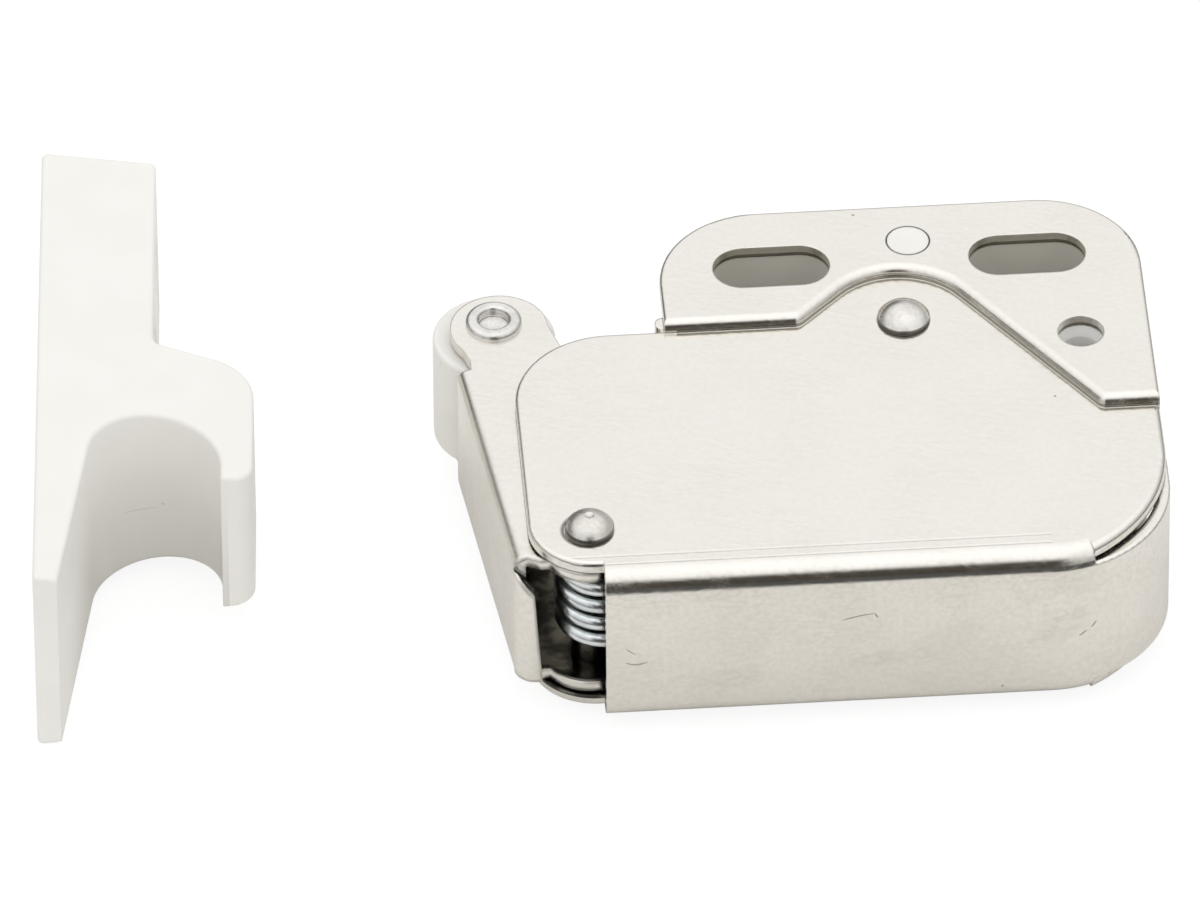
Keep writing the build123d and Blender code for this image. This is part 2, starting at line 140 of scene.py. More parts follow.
def mixColour(tree, factor, first, second):
    node = addNode(tree, "ShaderNodeMix", data_type="RGBA")
    plug(tree, node.inputs[0], factor)
    plug(tree, node.inputs[6], first)
    plug(tree, node.inputs[7], second)
    return node.outputs[2]


def mixShader(tree, factor, first, second):
    node = addNode(tree, "ShaderNodeMixShader")
    for socket, value in zip(node.inputs, (factor, first, second)):
        plug(tree, socket, value)
    return node.outputs[0]


def split(tree, vector):
    node = addNode(tree, "ShaderNodeSeparateXYZ")
    tree.links.new(vector, node.inputs[0])
    return node.outputs


def newGroup(name, inputs, outputs):
    group = bpy.data.node_groups.new(name, "ShaderNodeTree")
    for label, kind, value in inputs:
        socket = group.interface.new_socket(label, in_out="INPUT", socket_type="NodeSocket" + kind)
        if value is not None:
            socket.default_value = value
    for label, kind in outputs:
        group.interface.new_socket(label, in_out="OUTPUT", socket_type="NodeSocket" + kind)
    given = addNode(group, "NodeGroupInput").outputs
    result = addNode(group, "NodeGroupOutput").inputs
    return group, given, result


def useGroup(tree, group, **values):
    node = addNode(tree, "ShaderNodeGroup")
    node.node_tree = group
    return setInputs(tree, node, **values).outputs


# Shared node groups. Sizes are in millimetres, coordinates in metres.
def makeGrain():  # even noise whose features are about Size across
    inputs = [("Vector", "Vector", None), ("Size", "Float", 1.0), ("Detail", "Float", 2.0)]
    group, given, result = newGroup("grain", inputs, [("Value", "Float")])
    texture = addNode(group, "ShaderNodeTexNoise")
    scale = mathNode(group, "DIVIDE", 1 / mm, given["Size"])
    setInputs(group, texture, Vector=given["Vector"], Scale=scale, Detail=given["Detail"])
    plug(group, result["Value"], texture.outputs[0])
    return group


# How broken up the fine lines are: the size of their patches, and how softly a patch ends
patchValues = {"scale": 0.16, "soft": 0.12}


def makeScratches():  # fine broken lines along one direction of a stretched noise
    inputs = [("Vector", "Vector", None), ("Turn", "Float", 0.0), ("Width", "Float", 0.1)]
    inputs += [("Length", "Float", 4.0), ("Thin", "Float", 0.02), ("Cover", "Float", 0.5)]
    group, given, result = newGroup("scratches", inputs, [("Mask", "Float")])
    turned = addNode(group, "ShaderNodeVectorRotate", rotation_type="Z_AXIS")
    setInputs(group, turned, Vector=given["Vector"], Angle=given["Turn"])
    stretched = addNode(group, "ShaderNodeCombineXYZ")
    widths = (given["Length"], given["Width"], given["Width"])
    for socket, value, width in zip(stretched.inputs, split(group, turned.outputs[0]), widths):
        plug(group, socket, mathNode(group, "DIVIDE", value, width))
    lines = addNode(group, "ShaderNodeTexNoise")
    setInputs(group, lines, Vector=stretched.outputs[0], Scale=1 / mm, Detail=1.0)
    ridge = mathNode(group, "ABSOLUTE", mathNode(group, "SUBTRACT", lines.outputs[0], 0.5))
    thin = remap(group, ridge, 0.0, given["Thin"], 1.0, 0.0)
    patches = addNode(group, "ShaderNodeTexNoise")
    setInputs(group, patches, Vector=given["Vector"], Scale=patchValues["scale"] / mm, Detail=1.0)
    start = mathNode(group, "SUBTRACT", 1.0, given["Cover"])
    end = mathNode(group, "ADD", start, patchValues["soft"])
    shown = remap(group, patches.outputs[0], start, end)
    plug(group, result["Mask"], mathNode(group, "MULTIPLY", thin, shown))
    return group


markReach = 4.0  # mm from its place, beyond which no mark shows


def makeMark():  # one soft-edged stroke about Place, Length along and Width across, bent by Bow
    inputs = [("Vector", "Vector", None), ("Place", "Vector", None), ("Along", "Vector", None)]
    inputs += [("Across", "Vector", None), ("Length", "Float", 1.0), ("Width", "Float", 0.1)]
    inputs += [("Bow", "Float", 0.0)]
    group, given, result = newGroup("mark", inputs, [("Mask", "Float")])
    off = vectorMath(group, "SUBTRACT", given["Vector"], given["Place"])
    along, across = (
        mathNode(group, "DIVIDE", vectorMath(group, "DOT_PRODUCT", off, given[way]), mm)
        for way in ("Along", "Across")
    )
    bow = mathNode(group, "MULTIPLY", mathNode(group, "MULTIPLY", along, along), given["Bow"])
    first = mathNode(group, "DIVIDE", along, given["Length"])
    second = mathNode(group, "DIVIDE", mathNode(group, "SUBTRACT", across, bow), given["Width"])
    squares = [mathNode(group, "MULTIPLY", v, v) for v in (first, second)]
    stroke = remap(group, mathNode(group, "ADD", *squares), 0.4, 1.0, 1.0, 0.0)
    near = mathNode(group, "LESS_THAN", vectorMath(group, "LENGTH", off), markReach * mm)
    plug(group, result["Mask"], mathNode(group, "MULTIPLY", stroke, near))
    return group


def makeRelief():  # Height of 0 to 1 as a bump Depth deep
    inputs = [("Height", "Float", 0.0), ("Depth", "Float", 0.01), ("Normal", "Vector", None)]
    group, given, result = newGroup("relief", inputs, [("Normal", "Vector")])
    bump = addNode(group, "ShaderNodeBump")
    depth = mathNode(group, "MULTIPLY", given["Depth"], mm)
    setInputs(group, bump, Height=given["Height"], Distance=depth, Normal=given["Normal"])
    plug(group, result["Normal"], bump.outputs[0])
    return group


grain, scratches, mark, relief = makeGrain(), makeScratches(), makeMark(), makeRelief()
print("node groups made")


# Short ways to place the groups
def noise(tree, place, size, detail):
    return useGroup(tree, grain, Vector=place, Size=size, Detail=detail)[0]


def streaks(tree, place, values):
    return useGroup(tree, scratches, Vector=place, **values)[0]


def emboss(tree, normal, layers):  # the height and depth of each layer, one over the other
    for height, depth in layers:
        normal = useGroup(tree, relief, Height=height, Depth=depth, Normal=normal)[0]
    return normal


roughSwing = 0.16  # how far the texture varies the roughness, up and down together


def roughen(tree, base, texture, more):  # rougher by a share wherever one of the masks is
    roughness = mathNode(tree, "MULTIPLY_ADD", texture, roughSwing, base - roughSwing / 2)
    for mask, share in more:
        roughness = mathNode(tree, "MULTIPLY_ADD", mask, share, roughness, clamp=True)
    return roughness


def tint(tree, mask, share, colour, over):
    return mixColour(tree, mathNode(tree, "MULTIPLY", mask, share), over, colour)


def strongest(tree, masks):
    result = masks[0]
    for other in masks[1:]:
        result = mathNode(tree, "MAXIMUM", result, other)
    return result


def markMask(tree, place, marks):
    masks = []
    for at, along, across, length, width, bow in marks:
        values = {"Along": along, "Across": across, "Length": length, "Width": width, "Bow": bow}
        at = [c * mm for c in at]
        masks.append(useGroup(tree, mark, Vector=place, Place=at, **values)[0])
    return strongest(tree, masks)


def boxMask(tree, place, low, high):  # 1 inside the box, 0 outside
    result = None
    for value, start, end in zip(split(tree, place), low, high):
        for test, limit in (("GREATER_THAN", start), ("LESS_THAN", end)):
            side = mathNode(tree, test, value, limit * mm)
            result = side if result is None else mathNode(tree, "MULTIPLY", result, side)
    return result


def fromAxis(tree, place, x, y):  # distance from an upright axis
    off = vectorMath(tree, "SUBTRACT", place, (x * mm, y * mm, 0))
    return vectorMath(tree, "LENGTH", vectorMath(tree, "MULTIPLY", off, (1, 1, 0)))


def surfaceFacing(tree):
    return split(tree, addNode(tree, "ShaderNodeNewGeometry").outputs["Normal"])


def softEdges(tree, radius):  # the surface's normal, turned over within radius of a sharp edge
    bevel = addNode(tree, "ShaderNodeBevel", samples=6)
    plug(tree, bevel.inputs["Radius"], radius)
    return bevel.outputs[0]


def newMaterial(name):
    material = bpy.data.materials.new(name)
    material.use_nodes = True
    tree = material.node_tree
    place = addNode(tree, "ShaderNodeTexCoord").outputs["Object"]
    return material, tree, tree.nodes["Principled BSDF"], place


# Nickel plate of the case and the lever: bright, with a fine mottle and orange peel
nickelValues = {
    "colour": (0.885, 0.86, 0.81, 1),
    "cloud": (0.815, 0.785, 0.722, 1),
    "cloudSize": 7.0,
    "cloudTone": ((0.38, 0.62), 0.3),  # where the noise fades in, and how much it counts
    "mottleTone": ((0.36, 0.64), 0.45),
    "smearTone": 0.25,
    "roughness": 0.17,
    "rougher": (0.05, 0.12, 0.3),  # under smears, lines and marks
    "edge": 0.17,  # rounding of the case's edges
    "leverEdge": ((-13.0, -10.5), (0.62, 0.15)),  # along y, from the long fold to the ear
    "mottleShare": (1.35, 0.45),  # on the walls, and on the flat faces that were rolled smooth
    "flatFacing": (0.5, 0.95),  # upward part of the normal, from a wall to a flat face
    "mottleSize": 0.38,
    "mottleDepth": 0.0034,
    "peelSize": 1.9,
    "peelDepth": 0.006,
    "fineLines": {"Turn": 0.5, "Width": 0.12, "Length": 5.0, "Thin": 0.02, "Cover": 0.42},
    "crossLines": {"Turn": -0.9, "Width": 0.15, "Length": 4.0, "Thin": 0.015, "Cover": 0.4},
    "smear": {"Turn": 0.3, "Width": 0.7, "Length": 2.4, "Thin": 0.12, "Cover": 0.6},
    "smearDepth": 0.003,
    "dentDepth": 0.012,  # of the marks, and lines sink by a share of it
    "lineShare": 0.12,
    "coverFrom": 14.25,  # just below the cover's face
}
# Tones laid over the plate: colour, then how strong. The step's foot and the rings under the rivet
# heads are painted shade
plateTints = {
    "stain": ((0.7, 0.675, 0.61, 1), (0.17, 0.4)),  # without and with a smear
    "pale": ((0.97, 0.96, 0.94, 1), 0.28),
    # painted shade, dark along the foot of the step
    "stepFootShade": ((0.2, 0.18, 0.14, 1), 0.8),
    "wear": ((0.42, 0.39, 0.34, 1), 0.75),
    # a dark line round the boss, and painted shade under the rivet heads
    "ring": ((0.16, 0.15, 0.13, 1), 0.9),
}
stepFootShadeBox = ((-16.4, -17.2, 14.33), (17.3, 4.9, 14.6))  # painted shade at the foot of the step and of the slots' walls
foldLines = {
    "lines": ((-29.35, 0.16), (-30.2, 0.14)),  # pressed in beside the fold: y, half width
    "end": 8.4,  # x of the wrapped corner
    "depth": 0.016,
}
# Marks in the plating: place, direction along, direction across, half length, half width, bow
wearMarks = [
    ((-21.2, -31.9, 6.2), (1, 0, 0), (0, 0, 1), 0.95, 0.07, 0.35),
    ((-21.6, -31.9, 7.4), (0.8, 0, -0.6), (0.6, 0, 0.8), 0.5, 0.05, 0.2),
    ((-5.5, -31.9, 9.7), (0.97, 0, 0.22), (-0.22, 0, 0.97), 1.4, 0.055, -0.05),
    ((-4.2, -31.9, 9.7), (0.5, 0, -0.87), (0.87, 0, 0.5), 0.3, 0.06, 0.0),
    ((10.5, -31.6, 6.8), (0.8, 0.2, 0.57), (-0.57, 0, 0.82), 0.42, 0.08, 0.0),
    ((11.3, -31.4, 7.4), (0.6, 0.2, 0.77), (-0.77, 0, 0.6), 0.36, 0.07, 0.0),
    ((-2.9, 5.2, 15.2), (1, 0, 0), (0, 1, 0), 0.12, 0.12, 0.0),
    ((4.8, -31.9, 2.4), (1, 0, 0), (0, 0, 1), 0.13, 0.11, 0.0),
    ((9.95, -14.6, 14.3), (1, 0, 0), (0, 1, 0), 0.11, 0.13, 0.0),
]
# Faint scratches in the cover, as for the marks
paleMarks = [
    ((-9.1, -14.2, 14.3), (0.1, 0.99, 0), (0.99, -0.1, 0), 1.1, 0.05, 0.02),
    ((-8.2, -13.6, 14.3), (-0.05, 1, 0), (1, 0.05, 0), 1.6, 0.045, -0.02),
    ((-6.3, -13.1, 14.3), (0.04, 1, 0), (1, -0.04, 0), 1.8, 0.05, 0.01),
    ((-5.1, -11.6, 14.3), (0.6, 0.8, 0), (0.8, -0.6, 0), 0.9, 0.05, 0.05),
    ((-14.6, -15.5, 14.3), (0.95, 0.3, 0), (-0.3, 0.95, 0), 1.2, 0.045, 0.03),
]
# Faint stains on the front wall, as for the marks
stains = [
    ((0.6, -31.9, 6.8), (0.9, 0, 0.43), (-0.43, 0, 0.9), 3.4, 1.5, 0.03),
    ((-3.9, -31.9, 5.6), (1, 0, 0.1), (-0.1, 0, 1), 2.6, 0.9, -0.04),
    ((8.9, -31.8, 7.6), (0.8, 0, 0.6), (-0.6, 0, 0.8), 2.9, 1.4, 0.05),
    ((-14.5, -31.9, 4.4), (1, 0, 0), (0, 0, 1), 3.2, 1.0, 0.02),
]
# Dark lines in the cover and the flange, a line round the boss and painted shade under the rivet
# heads: centre, radius, half width
bossLineAndHeadShades = [
    ((0.8, 2.1), 1.56, 0.11),  # round the boss pressed through the flange
    ((-24.27, -26.45), 1.75, 0.28),  # shade under the pivot rivet's head
    ((-0.13, -5.5), 1.85, 0.14),  # shade under the cam rivet's head
]
# Painted shade where the sheet faces the dark inside, in broken grey tones
insideShadeValues = {
    "case": ((-29.0, -31.05, 1.55), (16.5, 5.5, 13.45)),
    "corner": (8.4, -22.9, 8.4),  # the wrapped corner's axis, and a radius within its sheet
    "cornerEnds": (-40, 20),  # well past the corner's sheet
    "slit": ((7.0, -33.0, 12.2), (18.0, -14.0, 13.45)),  # the corner's open edge, in some light
    "slitShare": 0.5,
    "leverWeb": ((-40, -28.2, 2.85), (0, -8, 12.35)),
    "leverFlange": ((-40, -40, 2.85), (0, -8, 4)),
    "facing": 0.3,
    "colours": ((0.07, 0.066, 0.058, 1), (0.24, 0.23, 0.205, 1)),
    "size": 2.2,
    "broken": (0.44, 0.6),  # where the noise goes from one tone to the other
}


# painted shade on the case's faces within the box, left off the wrapped corner's outside and halved
# at its open edge
def caseInsideShade(tree, place):
    v = insideShadeValues
    insideShade = boxMask(tree, place, *v["case"])
    cornerX, cornerY, radius = v["corner"]
    low, high = v["cornerEnds"]
    outer = mathNode(tree, "GREATER_THAN", fromAxis(tree, place, cornerX, cornerY), radius * mm)
    corner = boxMask(tree, place, (cornerX, low, 0), (high, cornerY, high))
    outer = mathNode(tree, "MULTIPLY", outer, corner)
    insideShade = mathNode(tree, "SUBTRACT", insideShade, outer, clamp=True)
    slit = mathNode(tree, "MULTIPLY", boxMask(tree, place, *v["slit"]), v["slitShare"])
    return mathNode(tree, "SUBTRACT", insideShade, mathNode(tree, "MULTIPLY", insideShade, slit))


# painted shade on the lever's faces that turn inward
def leverInsideShade(tree, place):
    masks = []
    facing = surfaceFacing(tree)
    for way, part in ((facing[0], "leverWeb"), (facing[2], "leverFlange")):
        inward = mathNode(tree, "GREATER_THAN", way, insideShadeValues["facing"])
        masks.append(mathNode(tree, "MULTIPLY", inward, boxMask(tree, place, *insideShadeValues[part])))
    return strongest(tree, masks)


def caseEdge(tree, place):
    return nickelValues["edge"] * mm


def leverEdge(tree, place):
    (start, end), (fold, ear) = nickelValues["leverEdge"]
    return remap(tree, split(tree, place)[1], start * mm, end * mm, fold * mm, ear * mm)


def pressedLines(tree, place, onCover):
    x, y = split(tree, place)[:2]
    pressed = None
    for at, half in foldLines["lines"]:
        off = mathNode(tree, "ABSOLUTE", mathNode(tree, "SUBTRACT", y, at * mm))
        line = remap(tree, off, 0.0, half * mm, 1.0, 0.0)
        pressed = line if pressed is None else mathNode(tree, "ADD", pressed, line)
    leftOfCorner = mathNode(tree, "LESS_THAN", x, foldLines["end"] * mm)
    return mathNode(tree, "MULTIPLY", pressed, mathNode(tree, "MULTIPLY", onCover, leftOfCorner))


# a dark line round the boss, and painted shade under the rivet heads
def bossLineAndHeadShadeMask(tree, place, onCover):
    rings = []
    for centre, radius, half in bossLineAndHeadShades:
        off = mathNode(tree, "SUBTRACT", fromAxis(tree, place, *centre), radius * mm)
        rings.append(remap(tree, mathNode(tree, "ABSOLUTE", off), 0.0, half * mm, 1.0, 0.0))
    return mathNode(tree, "MULTIPLY", strongest(tree, rings), onCover)


def makeNickel(name, insideShade, edge):
    v = nickelValues
    material, tree, shader, place = newMaterial(name)
    mottle = noise(tree, place, v["mottleSize"], 3.0)
    cloud = noise(tree, place, v["cloudSize"], 2.0)
    peel = noise(tree, place, v["peelSize"], 1.0)
    lines = strongest(tree, [streaks(tree, place, v[kind]) for kind in ("fineLines", "crossLines")])
    smear = streaks(tree, place, v["smear"])
    wear = markMask(tree, place, wearMarks)
    onCover = mathNode(tree, "GREATER_THAN", split(tree, place)[2], v["coverFrom"] * mm)

    tone = mathNode(tree, "MULTIPLY", smear, v["smearTone"])
    for texture, (limits, counts) in ((cloud, v["cloudTone"]), (mottle, v["mottleTone"])):
        tone = mathNode(tree, "MULTIPLY_ADD", remap(tree, texture, *limits), counts, tone)
    upright = mathNode(tree, "ABSOLUTE", surfaceFacing(tree)[2])
    share = remap(tree, upright, *v["flatFacing"], *v["mottleShare"])
    tone = mathNode(tree, "MULTIPLY", tone, share, clamp=True)
    colour = mixColour(tree, tone, v["colour"], v["cloud"])

    stainColour, (plain, smeared) = plateTints["stain"]
    stainShare = remap(tree, smear, 0.0, 1.0, plain, smeared)
    colour = tint(tree, markMask(tree, place, stains), stainShare, stainColour, colour)
    masks = {
        "pale": markMask(tree, place, paleMarks),
        # painted shade along the foot of the step and of the slots' walls
        "stepFootShade": boxMask(tree, place, *stepFootShadeBox),
        "wear": wear,
        # a dark line round the boss, and painted shade under the rivet heads
        "ring": bossLineAndHeadShadeMask(tree, place, onCover),
    }
    for kind, mask in masks.items():
        tintColour, strength = plateTints[kind]
        colour = tint(tree, mask, strength, tintColour, colour)
    # painted shade, in broken grey tones, where the sheet faces the dark inside
    broken = remap(tree, noise(tree, place, insideShadeValues["size"], 3.0), *insideShadeValues["broken"])
    dark = mixColour(tree, broken, *insideShadeValues["colours"])
    colour = mixColour(tree, insideShade(tree, place), colour, dark)

    more = zip((smear, lines, wear), v["rougher"])
    roughness = roughen(tree, v["roughness"], mottle, more)
    sunk = mathNode(tree, "MULTIPLY", pressedLines(tree, place, onCover), -1.0)
    dents = mathNode(tree, "MULTIPLY", lines, -v["lineShare"])
    dents = mathNode(tree, "MULTIPLY_ADD", wear, -1.0, dents)
    layers = [(peel, v["peelDepth"]), (mottle, v["mottleDepth"]), (smear, v["smearDepth"])]
    layers += [(sunk, foldLines["depth"]), (dents, v["dentDepth"])]
    normal = emboss(tree, softEdges(tree, edge(tree, place)), layers)
    setInputs(tree, shader, Base_Color=colour, Roughness=roughness, Normal=normal, Metallic=1.0)
    return material


# Turned or headed metal: rivets with a satin head, zinc-plated wire, eyelet and pin
metalValues = {
    "rivetSteel": {
        "colour": (0.8, 0.78, 0.74, 1),
        "cloud": (0.7, 0.68, 0.63, 1),
        "roughness": 0.2,
        "size": 0.3,
        "depth": 0.0022,
        "headShade": (7.0, 7.1),  # up and down from mid height: where the painted shade below the head ends
        "headShadeShare": 0.9,
        "headShadeColour": (0.13, 0.12, 0.1, 1),
    },
    "zincPlate": {
        "colour": (0.88, 0.92, 0.93, 1),
        "cloud": (0.76, 0.8, 0.81, 1),
        "roughness": 0.17,
        "size": 0.35,
        "depth": 0.0015,
    },
    "axleZinc": {
        "colour": (0.84, 0.83, 0.8, 1),
        "cloud": (0.74, 0.73, 0.7, 1),
        "roughness": 0.19,
        "size": 0.3,
        "depth": 0.0015,
    },
}
# What all of them share
turnedValues = {
    "cloudSize": 1.6,
    "lines": {"Turn": 0.2, "Width": 0.06, "Length": 1.2, "Thin": 0.03, "Cover": 0.6},
    "lineDepth": 0.002,
    "rougher": 0.15,
    "toneShares": (0.4, 0.6),  # of the fine texture and the clouds
    "edge": 0.08,
    "midHeight": 7.6,
}


def makeMetal(name):
    v, shared = metalValues[name], turnedValues
    material, tree, shader, place = newMaterial(name)
    fine = noise(tree, place, v["size"], 3.0)
    cloud = noise(tree, place, shared["cloudSize"], 2.0)
    lines = streaks(tree, place, shared["lines"])
    fineShare, cloudShare = shared["toneShares"]
    tone = mathNode(tree, "MULTIPLY", cloud, cloudShare)
    tone = mathNode(tree, "MULTIPLY_ADD", fine, fineShare, tone)
    colour = mixColour(tree, remap(tree, tone, 0.4, 0.6), v["colour"], v["cloud"])
    # painted shade on the rivet below its heads, light only on the heads
    if "headShade" in v:
        height = mathNode(tree, "SUBTRACT", split(tree, place)[2], shared["midHeight"] * mm)
        height = mathNode(tree, "ABSOLUTE", height)
        near, far = (c * mm for c in v["headShade"])
        headShade = remap(tree, height, near, far, v["headShadeShare"], 0.0)
        colour = mixColour(tree, headShade, colour, v["headShadeColour"])
    roughness = roughen(tree, v["roughness"], fine, [(lines, shared["rougher"])])
    sunk = mathNode(tree, "MULTIPLY", lines, -1.0)
    layers = [(fine, v["depth"]), (sunk, shared["lineDepth"])]
    normal = emboss(tree, softEdges(tree, shared["edge"] * mm), layers)
    setInputs(tree, shader, Base_Color=colour, Roughness=roughness, Normal=normal, Metallic=1.0)
    return material


# Moulded plastic: fine texture, faint flow, a few dark specks
plasticValues = {
    "whitePlastic": {
        "colour": (0.885, 0.875, 0.835, 1),
        "flow": (0.875, 0.862, 0.82, 1),
        "roughness": 0.4,
        "size": 0.16,
        "specks": 0.3,
    },
    "rollerPlastic": {
        "colour": (0.87, 0.855, 0.815, 1),
        "flow": (0.84, 0.825, 0.785, 1),
        "roughness": 0.36,
        "size": 0.2,
        "specks": 0.3,
    },
    "innerPlastic": {
        "colour": (0.9, 0.885, 0.84, 1),
        "flow": (0.87, 0.85, 0.8, 1),
        "roughness": 0.42,
        "size": 0.2,
        "specks": 0.25,
    },
    "sleevePlastic": {
        "colour": (0.93, 0.92, 0.9, 1),
        "flow": (0.9, 0.89, 0.86, 1),
        "roughness": 0.35,
        "size": 0.2,
        "specks": 0.0,
    },
}
# What all of them share
mouldValues = {
    "waveSize": 5.0,
    "waveDepth": 0.004,
    "fineDepth": 0.003,
    "lines": {"Turn": 1.2, "Width": 0.1, "Length": 3.0, "Thin": 0.015, "Cover": 0.42},
    "lineDepth": 0.003,
    "speckScale": 0.45,
    "speckShare": 0.12,  # of the cells have one
    "speckSize": (0.03, 0.06),
    "rougher": 0.06,
    "speckColour": (0.34, 0.3, 0.25, 1),
    "edge": 0.15,
    "glow": (0.12, (1.0, 0.95, 0.85), 0.6),  # light under the skin: weight, colour, mm
}
# Inside the slots, darker towards their mouths
slotShade = {
    "box": ((-15, -3, 0.8), (15.5, 3, 14.25)),
    "heights": (10.3, 13.8),
    "shares": (0.35, 1.0),
    "colour": (0.67, 0.65, 0.59, 1),
}
# The strike's pocket, darker towards its foot and its back
pocketShade = {
    "box": ((-61.6, -30.0, -1.0), (-49.35, -11.5, 15.6)),
    "heights": (1, 15.3),
    "shares": (0.85, 0.0),
    "depths": (-27, -19),  # y
    "colour": (0.74, 0.725, 0.68, 1),
}
# Specks and a hair line in the strike's pocket: as for the plating
mouldMarks = [
    ((-53.7, -12.3, 6.4), (1, 0, 0), (0, 0, 1), 0.16, 0.13, 0.0),
    ((-55.3, -12.4, 6.0), (0.95, 0.2, 0.0), (0, 0, 1), 1.6, 0.05, 0.03),
    ((-59.3, -17.2, 7.6), (0.2, 0.98, 0), (0, 0, 1), 0.13, 0.1, 0.0),
]


def shadeMask(tree, place, v):
    low, high = (c * mm for c in v["heights"])
    fade = remap(tree, split(tree, place)[2], low, high, *v["shares"])
    if "depths" in v:
        near, far = (c * mm for c in v["depths"])
        fade = mathNode(tree, "MULTIPLY", fade, remap(tree, split(tree, place)[1], near, far))
    return mathNode(tree, "MULTIPLY", boxMask(tree, place, *v["box"]), fade)


def makePlastic(name, shade=None, marks=None):
    v, shared = plasticValues[name], mouldValues
    material, tree, shader, place = newMaterial(name)
    fine = noise(tree, place, v["size"], 2.0)
    wave = noise(tree, place, shared["waveSize"], 1.0)
    lines = streaks(tree, place, shared["lines"])
    spots = addNode(tree, "ShaderNodeTexVoronoi")
    setInputs(tree, spots, Vector=place, Scale=shared["speckScale"] / mm)
    cell = split(tree, spots.outputs["Color"])[0]
    some = mathNode(tree, "LESS_THAN", cell, shared["speckShare"])
    dot = remap(tree, spots.outputs["Distance"], *shared["speckSize"], v["specks"], 0.0)
    dot = mathNode(tree, "MULTIPLY", dot, some)
    colour = mixColour(tree, remap(tree, wave, 0.4, 0.6), v["colour"], v["flow"])
    if shade:
        colour = mixColour(tree, shadeMask(tree, place, shade), colour, shade["colour"])
    if marks:
        marked = mathNode(tree, "MULTIPLY", markMask(tree, place, marks), v["specks"])
        dot = mathNode(tree, "MAXIMUM", dot, marked)
    colour = mixColour(tree, dot, colour, shared["speckColour"])
    roughness = roughen(tree, v["roughness"], fine, [(wave, shared["rougher"])])
    sunk = mathNode(tree, "MULTIPLY", lines, -1.0)
    layers = [(wave, shared["waveDepth"]), (fine, shared["fineDepth"]), (sunk, shared["lineDepth"])]
    normal = emboss(tree, softEdges(tree, shared["edge"] * mm), layers)
    setInputs(tree, shader, Base_Color=colour, Roughness=roughness, Normal=normal)
    weight, reach, depth = shared["glow"]
    setInputs(tree, shader, Subsurface_Weight=weight, Subsurface_Radius=reach)
    setInputs(tree, shader, Subsurface_Scale=depth * mm)
    return material


nickel = makeNickel("nickelPlate", caseInsideShade, caseEdge)
leverNickel = makeNickel("leverNickel", leverInsideShade, leverEdge)
rivetSteel, zincPlate, axleZinc = (makeMetal(name) for name in metalValues)
whitePlastic = makePlastic("whitePlastic", pocketShade, mouldMarks)
rollerPlastic = makePlastic("rollerPlastic")
innerPlastic = makePlastic("innerPlastic", slotShade)
sleevePlastic = makePlastic("sleevePlastic")
finishes = {
    "case": nickel,
    "lever": leverNickel,
    "pivot_rivet": rivetSteel,
    "cam_rivet": rivetSteel,
    "roller_axle": axleZinc,
    "follower_pin": zincPlate,
    "strike": whitePlastic,
    "roller": rollerPlastic,
    "heart_cam": innerPlastic,
    "spacer_block": innerPlastic,
}
for nodeName, finish in finishes.items():
    for materialSlot in nodes[nodeName].material_slots:
        materialSlot.material = finish
print("materials made")


# Torsion spring: one wire swept along leg, coil and leg
springValues = {
    "centre": (-23.4, -26.3),
    "pivot": (-24.1, -26.3),  # the lever's axis, about which the spring winds
    "meanRadius": 2.7,
    "wire": 1.2,
    "pitch": 1.6,
    "turns": 3.25,
    "low": 6.2,
    "startAngle": -90.0,
    "wallLeg": 5.6,
    "wallLean": 5.0,
    "leverLeg": 13.0,
    "leverHeading": 103.0,
    "pointsPerTurn": 48,
    "sides": 20,
}


def legPoints(start, length, degrees, shares):
    x, y, z = start
    a = math.radians(degrees)
    return [(x + length * s * math.cos(a), y + length * s * math.sin(a), z) for s in shares]


def springPath():
    v = springValues
    centreX, centreY = v["centre"]
    count = round(v["turns"] * v["pointsPerTurn"])
    coil = []
    for i in range(count + 1):
        turned = i / v["pointsPerTurn"]
        angle = math.radians(v["startAngle"] - 360 * turned)
        x = centreX + v["meanRadius"] * math.cos(angle)
        y = centreY + v["meanRadius"] * math.sin(angle)
        coil.append((x, y, v["low"] + v["pitch"] * turned))
    before = legPoints(coil[0], v["wallLeg"], -v["wallLean"], (1.0, 0.75, 0.5, 0.25))
    after = legPoints(coil[-1], v["leverLeg"], v["leverHeading"], (0.2, 0.4, 0.6, 0.8, 1.0))
    return [Vector(p) * mm for p in before + coil + after]


def makeSweep():  # a round wire along the curve, smooth and zinc plated
    v = springValues
    tree = bpy.data.node_groups.new("sweptWire", "GeometryNodeTree")
    tree.interface.new_socket("Geometry", in_out="INPUT", socket_type="NodeSocketGeometry")
    tree.interface.new_socket("Geometry", in_out="OUTPUT", socket_type="NodeSocketGeometry")
    given, result = addNode(tree, "NodeGroupInput"), addNode(tree, "NodeGroupOutput")
    ring = addNode(tree, "GeometryNodeCurvePrimitiveCircle")
    setInputs(tree, ring, Resolution=v["sides"], Radius=v["wire"] / 2 * mm)
    sweep = addNode(tree, "GeometryNodeCurveToMesh")
    setInputs(tree, sweep, Curve=given.outputs[0], Profile_Curve=ring.outputs[0], Fill_Caps=True)
    smooth = addNode(tree, "GeometryNodeSetShadeSmooth")
    plug(tree, smooth.inputs[0], sweep.outputs[0])
    coat = addNode(tree, "GeometryNodeSetMaterial")
    plug(tree, coat.inputs[0], smooth.outputs[0])
    setInputs(tree, coat, Material=zincPlate)
    plug(tree, result.inputs[0], coat.outputs[0])
    return tree


